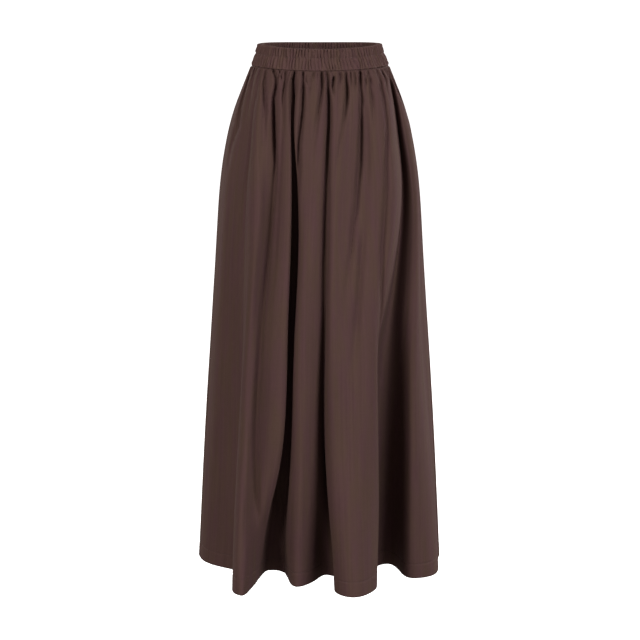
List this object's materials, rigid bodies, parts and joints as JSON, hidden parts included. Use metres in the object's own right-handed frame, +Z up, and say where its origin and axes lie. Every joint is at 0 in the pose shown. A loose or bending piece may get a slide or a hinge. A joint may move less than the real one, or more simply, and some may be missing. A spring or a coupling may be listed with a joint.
{
  "type": "gathered elastic-waist maxi skirt",
  "caption": "Full-length gathered skirt with a shirred elastic waistband, filled out as worn, open at the waist and the hem.",
  "frame": {"origin": "centre of the waistband at mid-height, where the wearer's waist holds the skirt", "axes": "+Z up towards the waist opening, +X to the viewer's right as the front is seen, front faces -Y"},
  "size_m": [0.4773, 0.4877, 1.0093],
  "materials": {
    "waistband_cloth": "matte dark brown plain weave, shirred over elastic",
    "skirt_cloth": "matte dark brown plain weave with a faint sheen"
  },
  "bodies": {
    "root": {"waistband": "waistband_cloth", "front_panel": "skirt_cloth", "back_panel": "skirt_cloth"}
  },
  "joints": []
}
